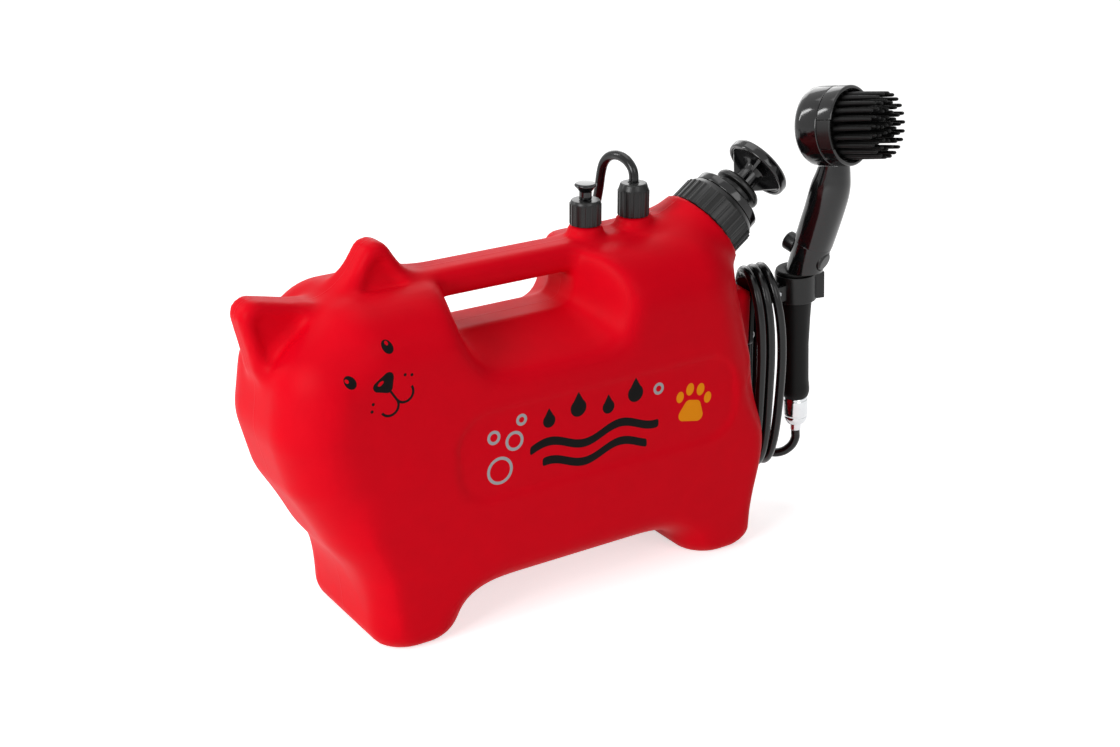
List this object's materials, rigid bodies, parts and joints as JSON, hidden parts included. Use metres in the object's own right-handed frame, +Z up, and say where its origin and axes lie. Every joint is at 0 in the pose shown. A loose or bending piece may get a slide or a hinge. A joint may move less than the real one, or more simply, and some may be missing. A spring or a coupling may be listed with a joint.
{
  "type": "portable pet shower",
  "caption": "Red animal-shaped water tank with grip bar, hand air pump, relief valve, and a hose coiled to a brush shower handset in a rear clip.",
  "frame": {"origin": "centre of the front foot's flat sole, on the plane the part stands on", "axes": "+Z up, +X from the tank's head end towards the pump and the handset, the tank alike on both sides of the plane y = 0"},
  "size_m": [0.4786, 0.1799, 0.3462],
  "materials": {
    "red_plastic": "satin",
    "black_plastic": "satin",
    "gloss_black": "gloss",
    "rubber": "matte",
    "hose_rubber": "satin",
    "chrome": "polished",
    "steel": "plain",
    "clear_grey": "plain"
  },
  "bodies": {
    "tank": {"tank_shell": "red_plastic", "hose_coil": "hose_rubber", "hose_lead": "hose_rubber", "handset_clip": "black_plastic", "outlet_cap_nut": "black_plastic", "relief_valve_cap": "black_plastic", "dip_tube": "clear_grey", "relief_spring": "steel", "rear_bracket": "black_plastic", "hose_tail": "hose_rubber", "relief_valve_body": "black_plastic", "outlet_barb": "black_plastic", "dip_tube_strainer": "clear_grey", "outlet_gasket": "rubber", "bracket_screw_1": "steel", "bracket_screw_2": "steel", "bracket_screw_3": "steel", "bracket_screw_4": "steel", "clip_screw": "steel", "clip_nut": "steel"},
    "pump": {"pump_cylinder": "black_plastic", "pump_head": "black_plastic", "gland_cap": "black_plastic", "gland_seal": "rubber", "foot_valve_seat": "black_plastic", "foot_valve_flap": "rubber", "neck_gasket": "rubber"},
    "collar": {"pump_collar_nut": "black_plastic"},
    "plunger": {"plunger_rod": "black_plastic", "plunger_handle": "black_plastic", "piston": "black_plastic", "piston_ring": "rubber"},
    "relief": {"relief_knob": "gloss_black", "relief_seal": "rubber"},
    "hose_end": {"hose_nut": "chrome", "hose_ferrule": "chrome", "nut_washer": "rubber"},
    "handset": {"grip_tube": "black_plastic", "grip_sleeve": "rubber", "valve_body": "black_plastic", "upper_neck": "gloss_black", "head_back_shell": "gloss_black", "head_ring": "gloss_black", "latch_spring": "steel", "spray_plate": "clear_grey"},
    "valve": {"valve_spool": "black_plastic", "spool_seal": "rubber", "front_button": "black_plastic"},
    "latch": {"head_latch": "gloss_black"},
    "brush": {"brush_pins": "black_plastic"}
  },
  "joints": [
    {"name": "pump_lift", "type": "slide", "parent": "tank", "child": "pump", "axis": [0.809, 0, 0.5878], "range_m": [0, 0.2]},
    {"name": "collar_turn", "type": "hinge", "parent": "pump", "child": "collar", "pos_m": [0.278, 0, 0.238], "axis": [0.809, 0, 0.5878], "continuous": true},
    {"name": "plunger_slide", "type": "slide", "parent": "pump", "child": "plunger", "axis": [0.809, 0, 0.5878], "range_m": [0, 0.15]},
    {"name": "relief_pull", "type": "slide", "parent": "tank", "child": "relief", "axis": [0, 0, 1], "range_m": [0, 0.005], "stiffness_N_per_m": 400, "springref_m": -0.002, "deforming": ["relief_spring"]},
    {"name": "handset_lift", "type": "slide", "parent": "tank", "child": "hose_end", "axis": [-0.0645, 0, 0.9979], "range_m": [0, 0.035]},
    {"name": "handset_turn", "type": "hinge", "parent": "hose_end", "child": "handset", "pos_m": [0.35095, -0.024, 0.18545], "axis": [-0.0645, 0, 0.9979], "range_deg": [-45, 20]},
    {"name": "valve_push", "type": "slide", "parent": "handset", "child": "valve", "axis": [0.2808, -0.9061, -0.3163], "range_m": [0, 0.007]},
    {"name": "latch_press", "type": "slide", "parent": "handset", "child": "latch", "axis": [0.9593, 0.2756, 0.062], "range_m": [0, 0.0015], "stiffness_N_per_m": 600, "springref_m": -0.001, "deforming": ["latch_spring"]},
    {"name": "brush_pull", "type": "slide", "parent": "handset", "child": "brush", "axis": [0.2616, -0.9494, 0.1737], "range_m": [0, 0.04]}
  ]
}
